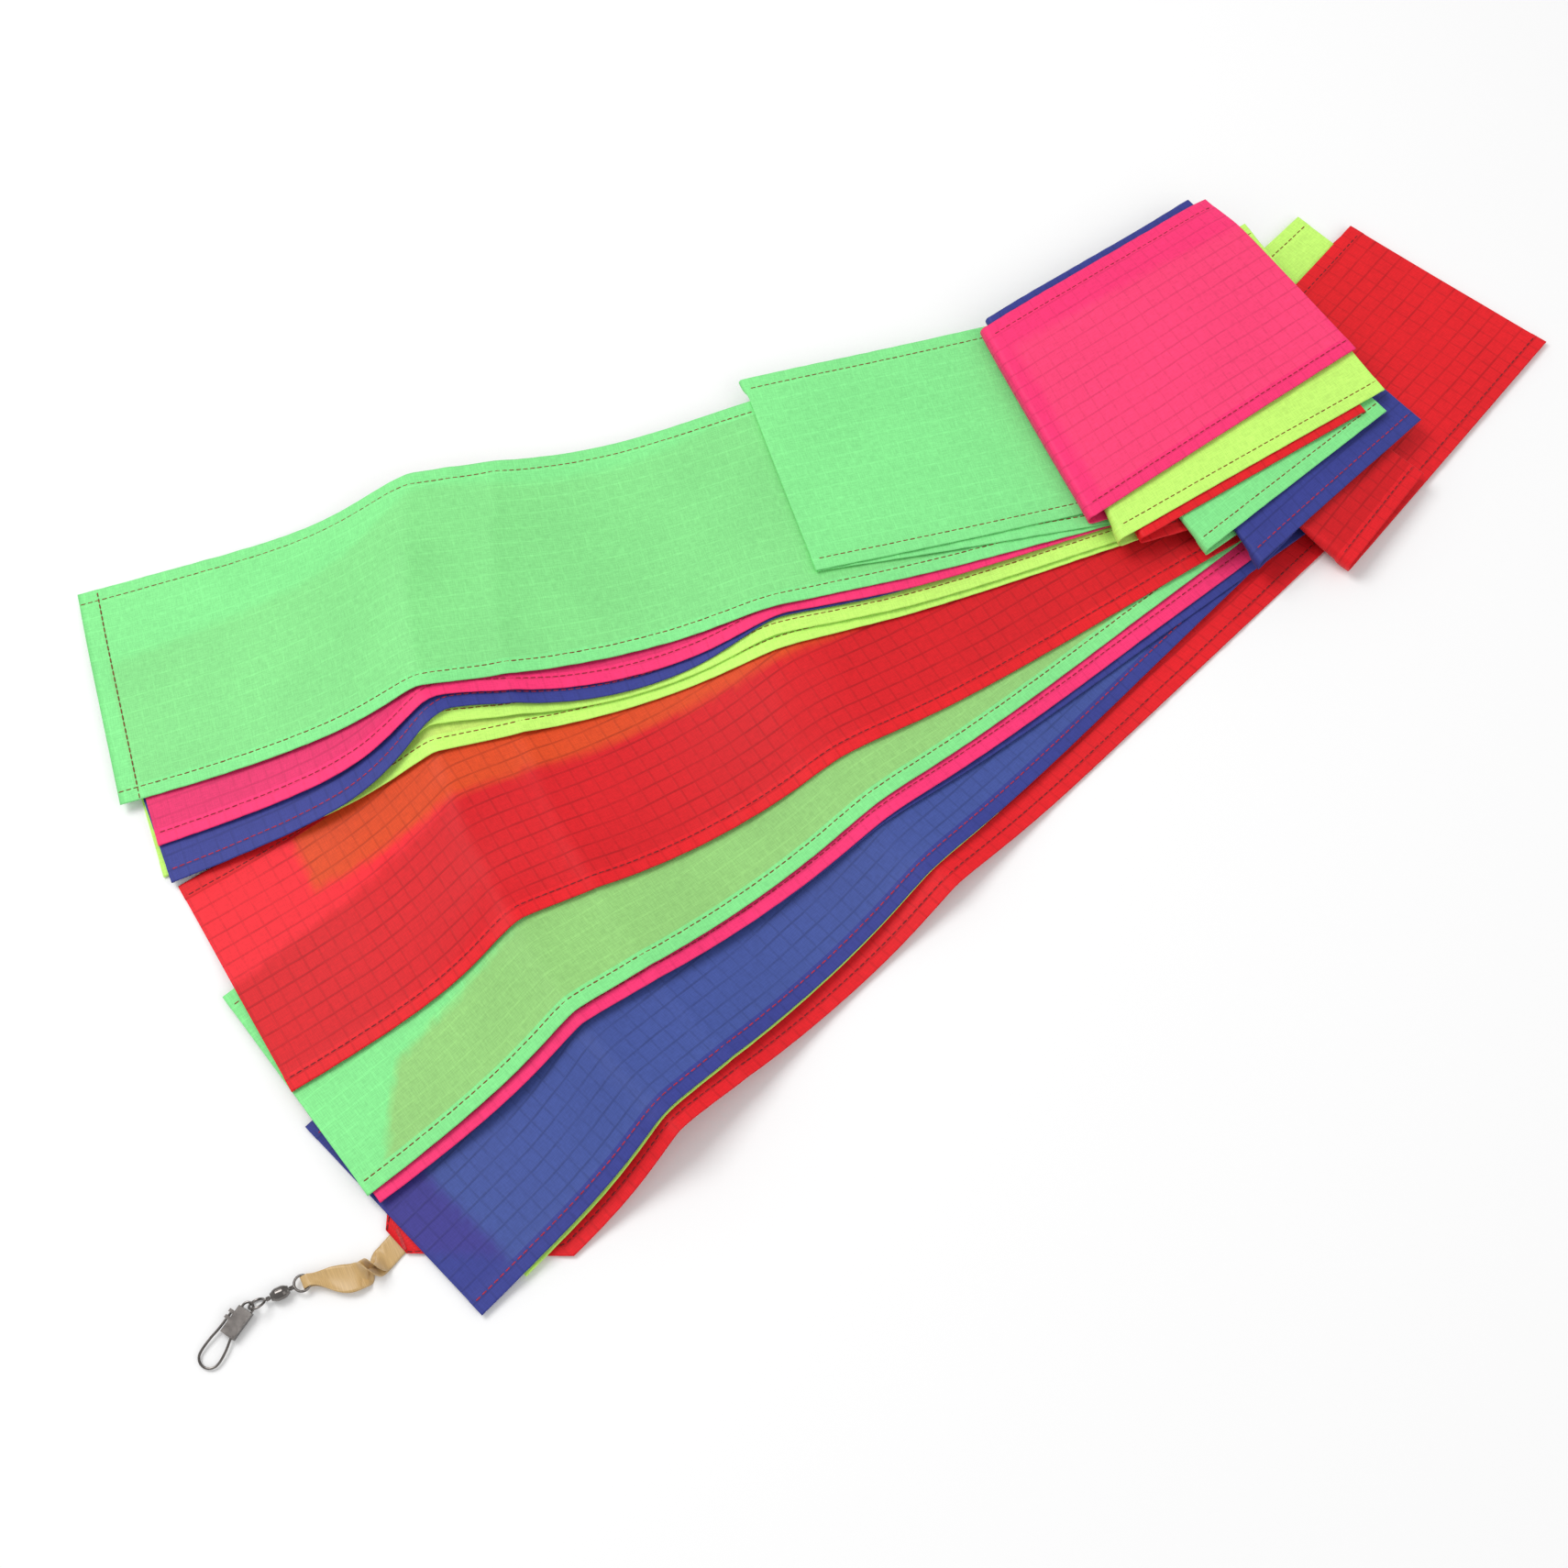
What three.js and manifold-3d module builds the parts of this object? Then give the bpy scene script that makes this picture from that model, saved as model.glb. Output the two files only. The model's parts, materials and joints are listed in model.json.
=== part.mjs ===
// A folded kite tail: long hemmed ripstop strips laid in a fan, with a satin ribbon loop
// and a barrel snap swivel on the lead tip. Millimetres, +Z up, lying on z = 0.

import * as THREE from 'three';
import { mergeVertices } from 'three/addons/utils/BufferGeometryUtils.js';
import Module from 'manifold-3d';

const wasm = await Module();
wasm.setup();

// ---- Driving dimensions ----

const STRIP_WIDTH = 100;
const CLOTH_THICKNESS = 0.35;
const LEVEL_PITCH = 0.7;
const LEAD_TIP_WIDTH = 12;

const RIBBON_WIDTH = 10;
const RIBBON_THICKNESS = 0.6;
const RIBBON_LOOP_WIDTH = 2.2;
const RIBBON_ROOT_OVERLAP = 4;

const WIRE_RADIUS = 0.5;
const TAIL_EYE_RADIUS = 3;
const SNAP_EYE_RADIUS = 3;
const SWIVEL_HEIGHT = 3;
const BARREL_RADIUS = 2.5;
const BARREL_LENGTH = 7;
const BARREL_BORE = 0.9;
const BARREL_CAVITY = 1.6;
const STEM_HEAD_RADIUS = 1.2;

const PLATE_LENGTH = 11.4;
const PLATE_WIDTH = 6;
const PLATE_DEPTH = 2.6;
const PLATE_WALL = 0.4;

// ---- Materials ----

const CLOTH_COLOURS = {
  green: 0x87e28c,
  lime: 0xbefa6e,
  pink: 0xff4278,
  red: 0xd71e28,
  navy: 0x37419b,
};

const clothMaterial = (colour) => new THREE.MeshStandardMaterial({
  color: CLOTH_COLOURS[colour], roughness: 0.65, metalness: 0,
});
const ribbonMaterial = () => new THREE.MeshStandardMaterial({ color: 0xcdaa6e, roughness: 0.4, metalness: 0 });
const threadMaterial = () => new THREE.MeshStandardMaterial({ color: 0xa0501e, roughness: 0.7, metalness: 0 });
const metalMaterial = () => new THREE.MeshStandardMaterial({ color: 0x46423f, roughness: 0.3, metalness: 1 });

// ---- Small helpers ----

const degrees = THREE.MathUtils.degToRad;

// A point in plan, reached from another by going a distance along a heading.
const step = (point, heading, distance) => [
  point[0] + distance * Math.cos(degrees(heading)),
  point[1] + distance * Math.sin(degrees(heading)),
];

const headingOf = (from, to) => THREE.MathUtils.radToDeg(Math.atan2(to[1] - from[1], to[0] - from[0]));

function addMesh(parent, name, geometry, material) {
  const mesh = new THREE.Mesh(geometry, material);
  mesh.name = name;
  parent.add(mesh);
  return mesh;
}

function toSolid(geometry) {
  const bare = geometry.index ? geometry.toNonIndexed() : geometry.clone();
  bare.deleteAttribute('normal');
  bare.deleteAttribute('uv');
  const merged = mergeVertices(bare, 1e-4);
  return new wasm.Manifold(new wasm.Mesh({
    numProp: 3,
    vertProperties: new Float32Array(merged.attributes.position.array),
    triVerts: new Uint32Array(merged.index.array),
  }));
}

function joinGeometries(geometries) {
  const joined = geometries.map(toSolid).reduce((whole, piece) => whole.add(piece));
  const mesh = joined.getMesh();
  const geometry = new THREE.BufferGeometry();
  geometry.setAttribute('position', new THREE.BufferAttribute(mesh.vertProperties, 3));
  geometry.setIndex(new THREE.BufferAttribute(mesh.triVerts, 1));
  return geometry;
}

function wireAlong(points, radius, steps) {
  const path = new THREE.CatmullRomCurve3(points.map((point) => new THREE.Vector3(...point)), false, 'centripetal');
  const section = new THREE.Shape().absarc(0, 0, radius, 0, 2 * Math.PI);
  return new THREE.ExtrudeGeometry(section, { extrudePath: path, steps, curveSegments: 5 });
}

// A rod along local X from one place to another.
function rodAlongX(fromX, toX, radius) {
  const rod = new THREE.CylinderGeometry(radius, radius, toX - fromX, 16);
  rod.rotateZ(-Math.PI / 2);
  rod.translate((fromX + toX) / 2, 0, 0);
  return rod;
}

// ---- Cloth runs ----

// The underside of the cloth on each level, counted from 1 on the table.
const levelHeight = (level) => (level - 1) * LEVEL_PITCH;

// A flat outline in plan, extruded to the cloth's thickness on its level.
function clothSlab(outline, level) {
  const shape = new THREE.Shape(outline.map(([x, y]) => new THREE.Vector2(x, y)));
  const slab = new THREE.ExtrudeGeometry(shape, { depth: CLOTH_THICKNESS, bevelEnabled: false });
  slab.translate(0, 0, levelHeight(level));
  return slab;
}

// The outline of a run between the middles of its two ends. A skew turns an end's edge away
// from square, because a fold across a strip is seldom square.
function runOutline({ from, to, fromSkew = 0, toSkew = 0 }) {
  const heading = headingOf(from, to);
  const cornerPair = (middle, skew) => {
    const half = STRIP_WIDTH / 2 / Math.cos(degrees(skew));
    return [step(middle, heading + 90 + skew, -half), step(middle, heading + 90 + skew, half)];
  };
  const [startRight, startLeft] = cornerPair(from, fromSkew);
  const [endRight, endLeft] = cornerPair(to, toSkew);
  return [startRight, endRight, endLeft, startLeft];
}

function addRun(parent, run) {
  return addMesh(parent, run.name, clothSlab(runOutline(run), run.level), clothMaterial(run.colour));
}

// The lead run lies on the table and tapers to the narrow tip that the ribbon is sewn to.
const LEAD = { name: 'lead_long', colour: 'red', level: 1, tip: [-144.5, -184.5], heading: 44, length: 608 };

// Long runs, from the lowest up: the middle of the left end, the heading and the length.
const LONG_RUNS = [
  { name: 'lime_low_long', colour: 'lime', start: [-130.5, -162], heading: 45.3, length: 563 },
  { name: 'navy_main_long', colour: 'navy', start: [-146, -176], heading: 45, length: 540 },
  { name: 'navy_second_long', colour: 'navy', start: [-176, -123], heading: 37, length: 470 },
  { name: 'pink_low_long', colour: 'pink', start: [-181, -131], heading: 38, length: 475 },
  { name: 'green_low_long', colour: 'green', start: [-186, -129], heading: 38.5, length: 480 },
  { name: 'lime_inner_long', colour: 'lime', start: [-207, -2], heading: 27.5, length: 410 },
  { name: 'red_main_long', colour: 'red', start: [-213, -86], heading: 32, length: 478 },
  { name: 'lime_first_long', colour: 'lime', start: [-263, 7], heading: 20.5, length: 470 },
  { name: 'lime_second_long', colour: 'lime', start: [-254, 16], heading: 20, length: 450 },
  { name: 'navy_high_long', colour: 'navy', start: [-261, 3], heading: 23, length: 474 },
  { name: 'pink_high_long', colour: 'pink', start: [-265, 19], heading: 20, length: 468 },
];

for (const [index, run] of LONG_RUNS.entries()) {
  run.level = LEAD.level + 1 + index;
  run.from = run.start;
  run.to = step(run.start, run.heading, run.length);
}

const longRunEnd = (name) => LONG_RUNS.find((run) => run.name === name).to;

function leadOutline() {
  const taper = (STRIP_WIDTH - LEAD_TIP_WIDTH) / 2;
  const shoulder = step(LEAD.tip, LEAD.heading, taper);
  const turn = step(LEAD.tip, LEAD.heading, LEAD.length);
  const across = LEAD.heading + 90;
  return [
    step(LEAD.tip, across, -LEAD_TIP_WIDTH / 2),
    step(shoulder, across, -STRIP_WIDTH / 2),
    step(turn, across, -STRIP_WIDTH / 2),
    step(turn, across, STRIP_WIDTH / 2),
    step(shoulder, across, STRIP_WIDTH / 2),
    step(LEAD.tip, across, LEAD_TIP_WIDTH / 2),
  ];
}

const leadTurn = step(LEAD.tip, LEAD.heading, LEAD.length);

// The top green run has the tail's hemmed free end. Its left part lifts at a crease, its right
// part stays, and it turns back twice as a short flap over itself.
const GREEN_TOP = { start: [-280, 37], heading: 17, crease: 268, length: 425 };
const CREASE_GAP = 0.4;
const greenCrease = step(GREEN_TOP.start, GREEN_TOP.heading, GREEN_TOP.crease);
const greenTurn = step(GREEN_TOP.start, GREEN_TOP.heading, GREEN_TOP.length);
const flapFold = [-2, 135.5];
const greenLevel = LEAD.level + 1 + LONG_RUNS.length;

const GREEN_RUNS = [
  {
    name: 'green_free_end', colour: 'green', level: greenLevel,
    from: GREEN_TOP.start, to: step(greenCrease, GREEN_TOP.heading, -CREASE_GAP),
  },
  { name: 'green_top_fixed', colour: 'green', level: greenLevel, from: greenCrease, to: greenTurn },
  { name: 'green_flap_under', colour: 'green', level: greenLevel + 1, from: flapFold, to: greenTurn, fromSkew: 4 },
  { name: 'green_flap_upper', colour: 'green', level: greenLevel + 2, from: flapFold, to: [136, 171], fromSkew: 4 },
];

// Return runs: from the right-hand turn of a long run back to its left-hand loop.
// The stack turns as one, so the lowest long run makes the highest return run.
const RETURN_RUNS = [
  { name: 'pink_return', colour: 'pink', from: [108, 158], to: longRunEnd('pink_high_long') },
  { name: 'navy_high_return', colour: 'navy', from: [110, 164], to: longRunEnd('navy_high_long') },
  { name: 'lime_return', colour: 'lime', from: [120, 148], to: longRunEnd('lime_first_long') },
  { name: 'red_inner_return', colour: 'red', from: [126, 147], to: longRunEnd('red_main_long') },
  { name: 'green_return', colour: 'green', from: [147, 139], to: longRunEnd('green_low_long') },
  { name: 'navy_low_return', colour: 'navy', from: [169, 135], to: longRunEnd('navy_main_long') },
  { name: 'lime_low_return', colour: 'lime', from: [190, 160], to: longRunEnd('lime_low_long') },
  { name: 'lead_return', colour: 'red', from: [196, 125], to: leadTurn, toSkew: 4 },
];

// Top runs: from the left-hand loops out to the right again, the lead's run lowest.
const TOP_RUNS = [
  { name: 'lead_top', colour: 'red', from: [196, 125], to: [231, 169], fromSkew: 4 },
  { name: 'navy_low_top', colour: 'navy', from: [169, 135], to: [236, 198], fromSkew: -8 },
  { name: 'green_top_run', colour: 'green', from: [147, 139], to: [223, 202], fromSkew: -4 },
  { name: 'red_inner_top', colour: 'red', from: [126, 147], to: [219, 205], fromSkew: -4 },
  { name: 'lime_top', colour: 'lime', from: [120, 148], to: [228, 215], fromSkew: -7 },
  { name: 'navy_high_top', colour: 'navy', from: [110, 164], to: [208, 234], fromSkew: -11 },
  { name: 'pink_top', colour: 'pink', from: [108, 158], to: [215, 233], fromSkew: -11 },
];

const returnLevel = greenLevel + 3;
for (const [index, run] of [...RETURN_RUNS, ...TOP_RUNS].entries()) {
  run.level = returnLevel + index;
}

// ---- Ribbon ----

// The satin ribbon is doubled: out from the lead tip, through the tail eye and back under itself.
// It is drawn along local X from the lead tip (x = 0) to the eye's near wire. It is broad up to
// RIBBON_GATHER, and gathered from there to the loop.
const RIBBON_REACH = 34;
const RIBBON_GATHER = 26;
const RIBBON_ROOT_BOTTOM = 0.65;
const RIBBON_FLARE_START = 4;
const RIBBON_LOOP_RADIUS = 1.8;
const LOOP_OUTER = RIBBON_LOOP_RADIUS + RIBBON_THICKNESS / 2;
const LOOP_INNER = LOOP_OUTER - RIBBON_THICKNESS;

// A side view of the ribbon, drawn in X and Z, made as wide as asked.
function ribbonBand(sideView, width) {
  const band = new THREE.ExtrudeGeometry(sideView, { depth: width, bevelEnabled: false, curveSegments: 10 });
  band.translate(0, 0, -width / 2);
  band.rotateX(Math.PI / 2);
  return band;
}

function loopPath(path, startX, radius) {
  path.moveTo(startX, SWIVEL_HEIGHT - radius);
  path.lineTo(RIBBON_REACH, SWIVEL_HEIGHT - radius);
  path.absarc(RIBBON_REACH, SWIVEL_HEIGHT, radius, -Math.PI / 2, Math.PI / 2, false);
  path.lineTo(startX, SWIVEL_HEIGHT + radius);
  path.closePath();
  return path;
}

function ribbonGeometry() {
  const loop = loopPath(new THREE.Shape(), RIBBON_GATHER, LOOP_OUTER);
  loop.holes.push(loopPath(new THREE.Path(), RIBBON_GATHER + 0.5, LOOP_INNER));
  const rootTop = RIBBON_ROOT_BOTTOM + RIBBON_THICKNESS;
  const broad = new THREE.Shape([
    [-RIBBON_ROOT_OVERLAP, RIBBON_ROOT_BOTTOM],
    [RIBBON_FLARE_START, RIBBON_ROOT_BOTTOM],
    [RIBBON_GATHER + 1, SWIVEL_HEIGHT - LOOP_OUTER],
    [RIBBON_GATHER + 1, SWIVEL_HEIGHT + LOOP_OUTER],
    [RIBBON_FLARE_START, rootTop],
    [-RIBBON_ROOT_OVERLAP, rootTop],
  ].map(([along, up]) => new THREE.Vector2(along, up)));
  return joinGeometries([ribbonBand(loop, RIBBON_LOOP_WIDTH), ribbonBand(broad, RIBBON_WIDTH)]);
}

// The bar of stitches that sews the ribbon to the lead tip.
function tackGeometry() {
  const tack = new THREE.BoxGeometry(1.2, RIBBON_WIDTH - 1.5, 0.3);
  tack.translate(-RIBBON_ROOT_OVERLAP / 2, 0, RIBBON_ROOT_BOTTOM + RIBBON_THICKNESS + 0.45);
  return tack;
}

// ---- Swivel, along local X from the middle of the tail eye ----

const BARREL_START = 5.2;
const BARREL_END = BARREL_START + BARREL_LENGTH;
const SNAP_EYE_CENTRE = BARREL_END + 5.6;
const SNAP_EYE_TILT = 50;
// The snap's own eye sits this far past the ring's far wire, with that wire inside it.
const EYE_OVERREACH = 0.5;
const STEM_DEPTH = 2;
const WRAP_COUNT = 3;

// One wire eye: a ring, a stem into the barrel with a head that keeps it there, and wire wraps.
function eyeGeometry(ringRadius, ringX, stemFrom, stemTo, headX, wrapX) {
  const ring = new THREE.TorusGeometry(ringRadius, WIRE_RADIUS, 10, 36);
  ring.translate(ringX, 0, 0);
  const stem = rodAlongX(stemFrom, stemTo, WIRE_RADIUS);
  const head = rodAlongX(headX - 0.4, headX + 0.4, STEM_HEAD_RADIUS);
  const wraps = Array.from({ length: WRAP_COUNT }, (_, index) => {
    const wrap = new THREE.TorusGeometry(0.6, 0.3, 8, 20);
    wrap.rotateY(Math.PI / 2);
    wrap.translate(wrapX + index * 0.45, 0, 0);
    return wrap;
  });
  return joinGeometries([ring, stem, head, ...wraps]);
}

function barrelGeometry() {
  const endLip = 0.5;
  const neck = 1.5;
  const wall = 1.4;
  const half = BARREL_LENGTH / 2;
  const profile = [
    [BARREL_BORE, -half], [neck, -half], [neck + 0.2, -half + endLip],
    [BARREL_RADIUS - 0.3, -half + 1.3], [BARREL_RADIUS, -half + 2.2],
    [BARREL_RADIUS, half - 2.2], [BARREL_RADIUS - 0.3, half - 1.3],
    [neck + 0.2, half - endLip], [neck, half], [BARREL_BORE, half],
    [BARREL_BORE, half - wall], [BARREL_CAVITY, half - wall],
    [BARREL_CAVITY, -half + wall], [BARREL_BORE, -half + wall], [BARREL_BORE, -half],
  ];
  const barrel = new THREE.LatheGeometry(profile.map(([radius, along]) => new THREE.Vector2(radius, along)), 28);
  barrel.rotateZ(-Math.PI / 2);
  barrel.translate(BARREL_START + half, 0, 0);
  return barrel;
}

// ---- Snap, along local X from the middle of its eye ----

const PLATE_START = 0.7;
const PLATE_END = PLATE_START + PLATE_LENGTH;

// A folded strip of sheet metal around the two wire legs, open at both ends, with two prongs.
function plateGeometry() {
  const block = (length, width, depth, x, y, z) => {
    const box = new THREE.BoxGeometry(length, width, depth);
    box.translate(x, y, z);
    return box;
  };
  const middle = PLATE_START + PLATE_LENGTH / 2;
  const face = (PLATE_DEPTH - PLATE_WALL) / 2;
  const side = (PLATE_WIDTH - PLATE_WALL) / 2;
  const prong = (x) => block(1.3, 2.4, PLATE_WALL, x, -PLATE_WIDTH / 2 - 0.8, face);
  return joinGeometries([
    block(PLATE_LENGTH, PLATE_WIDTH, PLATE_WALL, middle, 0, face),
    block(PLATE_LENGTH, PLATE_WIDTH, PLATE_WALL, middle, 0, -face),
    block(PLATE_LENGTH, PLATE_WALL, PLATE_DEPTH, middle, side, 0),
    block(PLATE_LENGTH - 3, PLATE_WALL, PLATE_DEPTH, middle + 1.5, -side, 0),
    prong(PLATE_START + 3.4),
    prong(PLATE_START + 6),
  ]);
}

function snapEyeWire() {
  const bend = Array.from({ length: 7 }, (_, index) => {
    const angle = degrees(90 + index * 30);
    return [2.1 * Math.cos(angle), 2.1 * Math.sin(angle), 0];
  });
  const legEnd = PLATE_START + 6;
  return wireAlong([[legEnd, 1.8, 0], [2.2, 1.9, 0], ...bend, [2.2, -1.9, 0], [legEnd, -1.8, 0]], WIRE_RADIUS, 44);
}

// The bow that a line clips into: fixed inside the plate on one side, free under the prongs.
function snapBowWire() {
  const bowMiddle = [21.6, -0.6];
  const bowRadius = 4.1;
  const round = Array.from({ length: 7 }, (_, index) => {
    const angle = degrees(90 - index * 30);
    return [bowMiddle[0] + bowRadius * Math.cos(angle), bowMiddle[1] + bowRadius * Math.sin(angle), 0];
  });
  return wireAlong([
    [PLATE_END - 0.5, 1.5, 0], [PLATE_END + 1, 1.9, 0], [17, 3, 0], ...round,
    [16, -4.7, 0], [PLATE_END, -4.3, 0], [PLATE_START + 2.8, -4.1, 0],
  ], WIRE_RADIUS, 60);
}

// ---- Assembly ----

const tail = new THREE.Group();

addMesh(tail, LEAD.name, clothSlab(leadOutline(), LEAD.level), clothMaterial(LEAD.colour));
for (const run of [...LONG_RUNS, ...GREEN_RUNS, ...RETURN_RUNS, ...TOP_RUNS]) {
  addRun(tail, run);
}

const SWIVEL_HEADING = 205;
const SNAP_TURN = 31;
const SNAP_PITCH = 4;
const ribbonGroup = new THREE.Group();
ribbonGroup.position.set(LEAD.tip[0], LEAD.tip[1], 0);
ribbonGroup.rotation.z = degrees(SWIVEL_HEADING);
addMesh(ribbonGroup, 'ribbon_loop', ribbonGeometry(), ribbonMaterial());
addMesh(ribbonGroup, 'ribbon_tack', tackGeometry(), threadMaterial());
tail.add(ribbonGroup);

const swivel = new THREE.Group();
const tailEyeX = RIBBON_REACH + TAIL_EYE_RADIUS;
const tailEyeCentre = step(LEAD.tip, SWIVEL_HEADING, tailEyeX);
swivel.position.set(tailEyeCentre[0], tailEyeCentre[1], SWIVEL_HEIGHT);
swivel.rotation.z = degrees(SWIVEL_HEADING);
const tailHeadX = BARREL_START + STEM_DEPTH;
const snapHeadX = BARREL_END - STEM_DEPTH;
addMesh(swivel, 'tail_eye',
  eyeGeometry(TAIL_EYE_RADIUS, 0, TAIL_EYE_RADIUS, tailHeadX, tailHeadX, TAIL_EYE_RADIUS + 0.7), metalMaterial());
addMesh(swivel, 'swivel_barrel', barrelGeometry(), metalMaterial());
const snapEye = eyeGeometry(SNAP_EYE_RADIUS, SNAP_EYE_CENTRE, snapHeadX, SNAP_EYE_CENTRE - SNAP_EYE_RADIUS,
  snapHeadX, BARREL_END + 0.7);
snapEye.rotateX(degrees(SNAP_EYE_TILT));
addMesh(swivel, 'snap_eye', snapEye, metalMaterial());

const snap = new THREE.Group();
snap.rotation.set(0, degrees(SNAP_PITCH), degrees(SNAP_TURN), 'ZYX');
snap.position.x = SNAP_EYE_CENTRE + SNAP_EYE_RADIUS + EYE_OVERREACH;
addMesh(snap, 'snap_plate', plateGeometry(), metalMaterial());
addMesh(snap, 'snap_eye_wire', snapEyeWire(), metalMaterial());
addMesh(snap, 'snap_bow_wire', snapBowWire(), metalMaterial());
swivel.add(snap);
tail.add(swivel);

// The origin is the middle of the whole tail's footprint, on the table.
const model = new THREE.Group();
model.add(tail);
model.updateMatrixWorld(true);
const middle = new THREE.Box3().setFromObject(tail, true).getCenter(new THREE.Vector3());
tail.position.set(-middle.x, -middle.y, 0);

export default model;
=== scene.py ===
"""Looks of the folded kite tail: draped ripstop strips, a twisted satin ribbon and a snap swivel.

The strips are laid one after another, from the table up. Each one is a grid of points over its
CAD run, laid on the height field left by the strips below it, so nothing passes through.
"""
import json
import math

import bpy
import numpy as np
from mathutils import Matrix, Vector


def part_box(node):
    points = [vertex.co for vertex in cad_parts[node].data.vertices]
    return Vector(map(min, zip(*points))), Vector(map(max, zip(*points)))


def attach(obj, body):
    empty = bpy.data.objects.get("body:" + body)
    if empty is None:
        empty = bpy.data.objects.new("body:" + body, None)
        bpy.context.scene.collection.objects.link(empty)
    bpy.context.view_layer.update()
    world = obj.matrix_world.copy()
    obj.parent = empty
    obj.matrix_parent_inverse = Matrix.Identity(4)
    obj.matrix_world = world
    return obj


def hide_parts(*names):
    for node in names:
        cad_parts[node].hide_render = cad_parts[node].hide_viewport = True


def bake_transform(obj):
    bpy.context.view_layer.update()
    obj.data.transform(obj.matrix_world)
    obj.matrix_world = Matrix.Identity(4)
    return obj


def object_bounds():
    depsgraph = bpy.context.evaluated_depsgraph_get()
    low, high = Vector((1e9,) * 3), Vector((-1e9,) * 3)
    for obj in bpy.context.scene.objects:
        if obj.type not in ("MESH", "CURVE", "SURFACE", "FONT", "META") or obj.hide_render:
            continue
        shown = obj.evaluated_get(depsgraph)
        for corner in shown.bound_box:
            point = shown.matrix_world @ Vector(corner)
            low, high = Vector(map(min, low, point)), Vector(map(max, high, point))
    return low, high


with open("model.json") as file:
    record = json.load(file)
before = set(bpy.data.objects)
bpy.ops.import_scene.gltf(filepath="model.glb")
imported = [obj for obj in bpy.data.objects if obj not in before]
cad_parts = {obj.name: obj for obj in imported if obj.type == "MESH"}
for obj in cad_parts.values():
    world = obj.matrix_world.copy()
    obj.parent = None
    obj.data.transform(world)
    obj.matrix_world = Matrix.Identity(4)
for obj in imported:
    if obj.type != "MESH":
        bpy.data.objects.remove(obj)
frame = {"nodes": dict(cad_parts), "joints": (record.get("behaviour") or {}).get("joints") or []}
CAD_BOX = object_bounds()
NODES = frame["nodes"]

# ---- Driving dimensions, in metres ----

STRIP_WIDTH = 0.1
LEVEL_GAP = 0.00052
CLOTH_THICKNESS = 0.00016
HEM_THICKNESS = 0.00042
HEM_WIDTH = 0.007
STITCH_INSET = 0.0054
STITCH_PITCH = 0.0030
STITCH_LENGTH = 0.0030
STITCH_RADIUS = 0.00030
GRID_STEP = 0.0027
CELL = 0.00125
RIPSTOP_PITCH = 0.0068

# ---- Colours, linear RGB ----

CLOTH = {
    "green": (0.235, 0.80, 0.27),
    "lime": (0.58, 0.97, 0.17),
    "pink": (0.98, 0.035, 0.18),
    "red": (0.80, 0.011, 0.018),
    "navy": (0.040, 0.052, 0.28),
}
THREAD = {
    "green": (0.27, 0.06, 0.010),
    "lime": (0.30, 0.085, 0.012),
    "pink": (0.42, 0.008, 0.035),
    "red": (0.26, 0.006, 0.010),
    "navy": (0.52, 0.015, 0.060),
}
TACK_THREAD = (0.60, 0.010, 0.016)
# The colour a run takes where a run below it shows through: (run below, colour seen), in order.
SHOWS = {
    "navy_main_long": [("lead_long", (0.050, 0.044, 0.27)), ("lime_low_long", (0.055, 0.090, 0.33))],
    "green_low_long": [("lead_long", (0.30, 0.62, 0.19))],
    "red_main_long": [("table", (0.92, 0.020, 0.034)), ("green_low_long", (0.69, 0.010, 0.016)),
                      ("lime_inner_long", (0.74, 0.070, 0.013))],
    "lime_first_long": [("red_main_long", (0.58, 0.80, 0.16))],
    "pink_high_long": [("navy_high_long", (0.80, 0.030, 0.15))],
    "green_top_long": [("navy_high_long", (0.235, 0.73, 0.245))],
    "pink_top": [("lime_top", (1.0, 0.055, 0.185))],
    "lead_top": [("lead_return", (0.66, 0.008, 0.013))],
}


# ---- CAD runs ----

def node_outline(name):
    """The plan corners of a CAD cloth slab, in order around it."""
    points = {(round(v.co.x, 6), round(v.co.y, 6)) for v in NODES[name].data.vertices}
    points = np.array(sorted(points))
    merged = []
    for point in points:
        if all(np.hypot(*(point - other)) > 2e-5 for other in merged):
            merged.append(point)
    points = np.array(merged)
    centre = points.mean(axis=0)
    order = np.argsort(np.arctan2(points[:, 1] - centre[1], points[:, 0] - centre[0]))
    return points[order]


def node_run(name):
    """The run of a slab: its lower and upper hem, each from the left end to the right end."""
    corners = node_outline(name)
    best = None
    for i in range(2):
        first = corners[[i, i + 1]]
        second = corners[[(i + 3) % 4, (i + 2) % 4]]
        along = first[1] - first[0]
        along = along / np.linalg.norm(along)
        across = np.array([-along[1], along[0]])
        error = abs(abs((second[0] - first[0]) @ across) - STRIP_WIDTH)
        error += abs(abs((second[1] - first[1]) @ across) - STRIP_WIDTH)
        if best is None or error < best[0]:
            best = (error, first, second)
    _, first, second = best
    if first[1][0] < first[0][0]:
        first = first[::-1]
        second = second[::-1]
    return (first, second) if first.mean(axis=0)[1] < second.mean(axis=0)[1] else (second, first)


def lead_run():
    """The lead's stations: narrow tip, shoulder and turn, as lower and upper hem points."""
    corners = node_outline("lead_long")
    tip_side = corners[np.argsort(corners @ np.array([0.71, 0.70]))]
    tip = tip_side[:2]
    shoulder = tip_side[2:4]
    turn = tip_side[4:6]
    pairs = [pair[np.argsort(pair @ np.array([-0.70, 0.71]))] for pair in (tip, shoulder, turn)]
    return np.array([pair[0] for pair in pairs]), np.array([pair[1] for pair in pairs])


# ---- The height field that strips are laid on ----

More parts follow.
